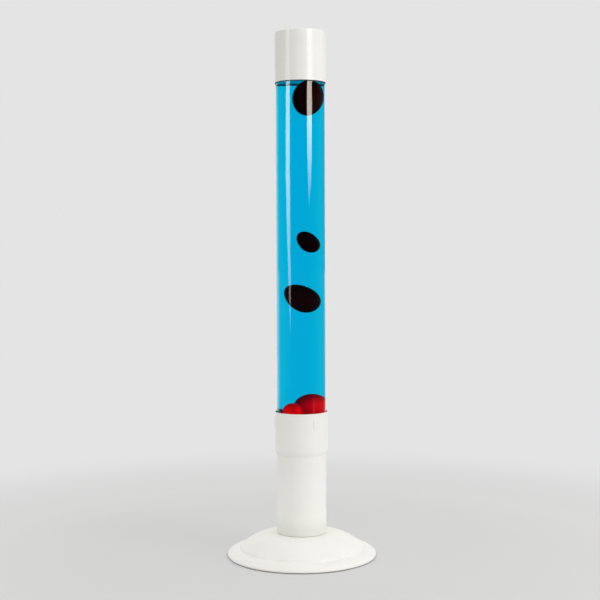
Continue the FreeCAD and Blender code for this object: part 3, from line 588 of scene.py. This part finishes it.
def earth_sleeve():
    # Extruded PVC with the green and yellow stripes of an earth lead.
    material, tree, shader, place = new_finish("green_and_yellow_pvc", IOR=1.53, Roughness=0.4)
    parts = add(tree, "ShaderNodeSeparateXYZ", {"Vector": place})
    side = add(tree, "ShaderNodeMath", {0: parts.outputs["X"], 1: 10 * MM}, operation="GREATER_THAN")
    feed(tree, shader, {"Base Color": tones(tree, side.outputs["Value"], "#2E7D32", "#E8C81E", 0.49, 0.51)})
    return material


def cad_finishes():
    """Finishes by the record's slot names, for the small pieces and those that keep their CAD shapes."""
    return {
        "white_paint": enamel,
        "bulb_glass": reflector_glass(),
        # Sand-cast iron, blacked: dull, coarse and slightly pitted.
        "cast_iron": stock_finish(
            "sand_cast_iron", "#2A2927", "#45423E",
            grain=1.6, rough=(0.65, 0.9), relief=0.25, Metallic=0.6),
        # Steel with bright zinc plating: a pale blue-grey metal with cloudy gloss.
        "zinc_steel": stock_finish(
            "bright_zinc_plated_steel", "#A9ADB0", "#C6C9CB",
            grain=5.0, rough=(0.24, 0.4), relief=0.01, Metallic=1.0),
        # Moulded natural rubber: a dull black skin with a fine bloom.
        "black_rubber": stock_finish(
            "moulded_black_rubber", "#161616", "#232322",
            grain=0.8, rough=(0.7, 0.9), relief=0.04),
        # Pressed silicone: milky, slightly waxy.
        "silicone": stock_finish(
            "pressed_milky_silicone", "#CFCFCA", "#E0E0DB",
            grain=3.0, rough=(0.4, 0.55), relief=0.02, IOR=1.41),
        # Cut polyethylene foam: pale grey and full of small cells.
        "foam": stock_finish(
            "cut_polyethylene_foam", "#8F8F8D", "#BDBDBA",
            grain=1.2, rough=(0.85, 0.95), relief=0.3),
        # Glazed porcelain: white, glossy, faintly uneven under the glaze.
        "porcelain": stock_finish(
            "glazed_porcelain", "#ECEBE4", "#F4F3EE",
            grain=9.0, rough=(0.1, 0.2), relief=0.05, IOR=1.55),
        # Stamped brass strip: yellow metal, lightly tarnished.
        "brass": stock_finish(
            "stamped_brass", "#A97F36", "#CBA257",
            grain=4.0, rough=(0.25, 0.45), relief=0.01, Metallic=1.0),
        # Nickel-plated brass: a warm silver with a fine rolled gloss.
        "nickel_brass": stock_finish(
            "nickel_plated_brass", "#B3AEA3", "#CDC8BD",
            grain=4.0, rough=(0.18, 0.32), relief=0.01, Metallic=1.0),
        # Moulded black nylon: a fine even spark-eroded texture.
        "black_plastic": stock_finish(
            "moulded_black_nylon", "#1B1B1C", "#262627",
            grain=0.7, rough=(0.45, 0.6), relief=0.03, IOR=1.53),
        # Moulded white polyamide: slightly cloudy.
        "white_plastic": stock_finish(
            "moulded_white_polyamide", "#DEDDD6", "#EAE9E3",
            grain=6.0, rough=(0.35, 0.5), relief=0.02, IOR=1.53),
        "brown_insulation": stock_finish(
            "brown_pvc_sleeve", "#4A2A18", "#5A3520",
            grain=2.0, rough=(0.35, 0.5), relief=0.01, IOR=1.53),
        "blue_insulation": stock_finish(
            "blue_pvc_sleeve", "#1C4F93", "#265FA8",
            grain=2.0, rough=(0.35, 0.5), relief=0.01, IOR=1.53),
        "green_insulation": earth_sleeve(),
    }


def dress(piece, material, body, slot, *nodes):
    """Gives a finished piece its material, the body it rides on and the CAD nodes it stands for."""
    even = piece.modifiers.new("even_shading", "WEIGHTED_NORMAL")
    even.keep_sharp = True
    take_up(piece)
    bpy.ops.object.modifier_apply(modifier=even.name)
    if not piece.data.materials:
        piece.data.materials.append(None)
    piece.data.materials[0] = material
    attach(piece, body)
    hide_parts(*nodes)


# The wax near the bulb takes lighter tones, painted as lit by it.
LIT_TONES = "#8A0408", "#A0060A"  # of the wax near the bulb
HEAP_FOOT = 258.0  # where the heaps end, inside the bed
enamel = sprayed_enamel("sprayed_white_enamel", shaded_below=-20.0, unshaded_above=0.0)
# The floating drops take a darker copy of the wax as painted shade away from the bulb, with a faint painted
# glow.
shaded_wax = red_wax("shaded_clouded_red_wax", "#5A0306", "#6E0508",
                   glow_from=(0, 0, 300), glow_to=(0, 0, 1000), low=0.05, high=0.05)
dress(top_can(), enamel, "cap", "white_paint", "top_cap")
dress(collar_sleeve(), enamel, "base", "white_paint", "collar")
dress(spun_dome(), enamel, "base", "white_paint", "base_dome")
# The stem's foot is greyed by painted shade.
dress(stem_pipe(), sprayed_enamel("sprayed_white_enamel_shaded_foot", shaded_below=46.0, unshaded_above=88.0),
      "base", "white_paint", "stem_tube")
dress(glass_tube(), clear_glass("drawn_clear_glass", gloss=1.0), "bottle", "clear_glass", "glass_bottle")
dress(dyed_liquid(), blue_water(), "bottle", "blue_liquid", "liquid")
dress(wax_drop("wax_top", (12.4, 0, 920.8),
               girth=24.1, above=33.0, below=37.6, lean=-7.0, taper=0.0),
      shaded_wax, "top_wax", "red_wax", "wax_blob_top")
dress(wax_drop("wax_middle", (14.57, 0, 627.3),
               girth=15.69, above=29.25, below=16.75, lean=31.9, taper=-0.11),
      shaded_wax, "middle_wax", "red_wax", "wax_blob_middle")
dress(wax_drop("wax_lower", (1.3, 0, 520.5),
               girth=23.6, above=32.2, below=32.2, lean=44.3, taper=0.13),
      shaded_wax, "lower_wax", "red_wax", "wax_blob_lower")
dress(wax_heap("wax_heap_large", (15.4, 2.0),
               radius=27.6, top=327.8, foot=HEAP_FOOT, flare=(1.0, 1.02, 1.05)),
      red_wax("lit_red_wax_large", *LIT_TONES,
              glow_from=(22, 0, 300), glow_to=(38, 0, 300), low=3.0, high=1.9),
      "bottle", "red_wax", "wax_mound_large")
dress(wax_heap("wax_heap_small", (-15.2, -22.0),
               radius=19.6, top=311.4, foot=HEAP_FOOT, flare=(1.0, 1.0, 1.0)),
      red_wax("lit_red_wax_small", *LIT_TONES,
              glow_from=(-16, 0, 300), glow_to=(0, 0, 300), low=0.85, high=2.7),
      "bottle", "red_wax", "wax_mound_small")
dress(wax_bed(),
      red_wax("lit_red_wax_bed", *LIT_TONES,
              glow_from=(0, 0, 265), glow_to=(0, 0, 224), low=0.4, high=1.0),
      "bottle", "red_wax", "wax_pool")

finishes = cad_finishes()
for piece, body, slot, node in (
        (rubber_feet(), "base", "black_rubber", "foot_pads"),
        (hex_nuts(), "base", "zinc_steel", "rod_nuts"),
        (rubber_bush(), "base", "black_rubber", "cable_bush"),
        (stopper_plug(), "bottle", "black_plastic", "bottle_stopper"),
        (filler_screw(), "bottle", "brass", "filler_plug")):
    dress(piece, finishes[slot], body, slot, node)
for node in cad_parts.values():
    for slot in node.material_slots:
        slot.material = finishes.get(slot.material.name, slot.material)

# Studio
scene = bpy.context.scene
BACKDROP = colour("#E4E4E4")
SOFT_LIGHT = 1.16  # light on the object, against the background's 1


def ray_kinds(tree):
    """1 for rays that look straight or through glass, and 1 for rays that a surface mirrors."""
    path = add(tree, "ShaderNodeLightPath")
    seen = add(tree, "ShaderNodeMath", {
        0: path.outputs["Is Camera Ray"], 1: path.outputs["Is Transmission Ray"]}, operation="MAXIMUM")
    mirrored = add(tree, "ShaderNodeMath", {
        0: path.outputs["Is Glossy Ray"], 1: seen.outputs["Value"]}, operation="SUBTRACT", use_clamp=True)
    return seen.outputs["Value"], mirrored.outputs["Value"]


def pale_behind(tree, way, low, high, dim):
    """What a mirrored ray finds: a dim room, and a pale one behind the lamp, a little more to its left."""
    depth = add(tree, "ShaderNodeVectorMath", {0: way, 1: (-0.18, 1.0, 0.0)}, operation="DOT_PRODUCT")
    return add(tree, "ShaderNodeMapRange", {
        "Value": depth.outputs["Value"], "From Min": low, "From Max": high, "To Min": dim, "To Max": 1.4},
        interpolation_type="SMOOTHSTEP").outputs["Result"]


def studio_world():
    """Pale background, even soft light on the object, and a dim room beside and behind the camera."""
    world = bpy.data.worlds.new("soft_studio")
    scene.world = world
    world.use_nodes = True
    tree = world.node_tree
    seen, mirrored = ray_kinds(tree)
    way = add(tree, "ShaderNodeTexCoord").outputs["Generated"]
    behind = pale_behind(tree, way, low=0.68, high=0.94, dim=0.012)
    room = add(tree, "ShaderNodeMix", {"Factor": mirrored, "A": SOFT_LIGHT, "B": behind}, data_type="FLOAT")
    total = add(tree, "ShaderNodeMix", {
        "Factor": seen, "A": room.outputs["Result"], "B": 1.0}, data_type="FLOAT")
    feed(tree, tree.nodes["Background"], {"Color": BACKDROP, "Strength": total.outputs["Result"]})


def studio_floor():
    """Pale floor that keeps the shadow near the lamp and fades into the background further out."""
    bpy.ops.object.select_all(action="DESELECT")
    bpy.ops.mesh.primitive_circle_add(vertices=96, radius=30.0, fill_type="NGON", location=(0, 0, -0.1 * MM))
    floor = bpy.context.object
    floor.name = "studio_floor"
    material, tree, shader, place = new_finish("matt_pale_paper", Roughness=0.95)
    shader.inputs["Specular IOR Level"].default_value = 0.1
    seen, mirrored = ray_kinds(tree)
    away = add(tree, "ShaderNodeVectorMath", {0: place}, operation="LENGTH")
    outer = add(tree, "ShaderNodeMapRange", {
        "Value": away.outputs["Value"], "From Min": 0.7, "From Max": 1.6})
    feed(tree, shader, {"Base Color": tones(tree, outer.outputs["Result"], "#DCDCDB", "#A4A4A3", 0.0, 1.0)})
    fade = add(tree, "ShaderNodeMapRange", {
        "Value": away.outputs["Value"], "From Min": 0.35, "From Max": 1.3}, interpolation_type="SMOOTHSTEP")
    plain = add(tree, "ShaderNodeMath", {0: seen, 1: mirrored}, operation="ADD")
    blend = add(tree, "ShaderNodeMath", {0: plain.outputs["Value"], 1: fade.outputs["Result"]},
                operation="MULTIPLY")
    way = add(tree, "ShaderNodeVectorMath", {0: place}, operation="NORMALIZE").outputs["Vector"]
    behind = pale_behind(tree, way, low=0.58, high=0.86, dim=0.05)
    level = add(tree, "ShaderNodeMix", {"Factor": mirrored, "A": 1.0, "B": behind}, data_type="FLOAT")
    glow = add(tree, "ShaderNodeEmission", {"Color": BACKDROP, "Strength": level.outputs["Result"]})
    both = add(tree, "ShaderNodeMixShader", {
        0: blend.outputs["Value"], 1: shader.outputs["BSDF"], 2: glow.outputs["Emission"]})
    feed(tree, tree.nodes["Material Output"], {"Surface": both.outputs["Shader"]})
    floor.data.materials.append(material)


def strip_card(name, edge, fade_low, fade_high, strength):
    """Tall soft box that only shows as a reflection; its edge is (azimuth, height) points 2 m away."""
    far = 2.0
    points = [(far * math.sin(math.radians(a)), -far * math.cos(math.radians(a)), z) for a, z in edge]
    mesh = bpy.data.meshes.new(name)
    mesh.from_pydata(points, [], [range(len(points))])
    card = bpy.data.objects.new(name, mesh)
    scene.collection.objects.link(card)
    for ray in ("camera", "diffuse", "transmission", "volume_scatter", "shadow"):
        setattr(card, "visible_" + ray, False)
    material, tree, _, place = new_finish(name)
    height = add(tree, "ShaderNodeSeparateXYZ", {"Vector": place}).outputs["Z"]
    level = add(tree, "ShaderNodeMapRange", {
        "Value": height, "From Min": fade_low, "From Max": fade_high, "To Min": 0.0, "To Max": strength})
    glow = add(tree, "ShaderNodeEmission", {"Color": colour("#FFF6EA"), "Strength": level.outputs["Result"]})
    feed(tree, tree.nodes["Material Output"], {"Surface": glow.outputs["Emission"]})
    mesh.materials.append(material)


def soft_light(name, azimuth, far, height, aim, size, power):
    """Square soft box aimed at a height on the lamp; the strip cards stand for it in reflections."""
    turned = math.radians(azimuth)
    place = Vector((far * math.sin(turned), -far * math.cos(turned), height))
    bpy.ops.object.light_add(type="AREA", location=place)
    light = bpy.context.object
    light.name = name
    light.data.shape = "SQUARE"
    light.data.size = size
    light.data.energy = power
    light.rotation_euler = (Vector((0, 0, aim)) - place).to_track_quat("-Z", "Y").to_euler()
    light.visible_camera = False
    light.visible_glossy = False
    light.visible_transmission = False


def photo_camera():
    """Camera at the photograph's height, distance and lens, with its slight tilt and roll."""
    place, lens, down, aslant = (-0.0019, -2.393, 0.6185), 71.47, 2.448, -0.218
    bpy.ops.object.camera_add(location=place)
    camera = bpy.context.object
    camera.data.lens = lens
    camera.data.sensor_width = 36.0
    tilt = Matrix.Rotation(math.radians(90 - down), 3, "X")
    roll = Matrix.Rotation(math.radians(aslant), 3, "Z")
    camera.rotation_euler = (tilt @ roll).to_euler()
    scene.camera = camera


studio_world()
studio_floor()
strip_card("right_strip", [
    (31.0, 2.0), (55.0, 2.0), (55.0, 0.98), (50.8, 0.87), (39.5, 0.76), (33.5, 0.87), (31.0, 0.98)],
    fade_low=0.74, fade_high=1.12, strength=14.5)
strip_card("left_strip", [
    (-68.0, 2.0), (-46.0, 2.0), (-46.0, 1.4), (-50.0, 0.87), (-48.5, 0.58), (-48.0, 0.43), (-50.5, 0.31),
    (-56.5, 0.43), (-62.5, 0.58), (-72.0, 0.87), (-68.0, 1.4)],
    fade_low=0.05, fade_high=1.0, strength=9.5)
strip_card("low_strip", [
    (56.5, 0.075), (65.0, 0.075), (65.0, 0.02), (56.5, 0.02)],
    fade_low=-0.1, fade_high=0.0, strength=0.5)
soft_light("right_key", azimuth=65.0, far=2.6, height=0.5, aim=0.5, size=1.0, power=11.0)
soft_light("cap_key", azimuth=52.0, far=0.8, height=1.1, aim=1.0, size=0.3, power=0.97)
photo_camera()
scene.view_settings.view_transform = "Standard"
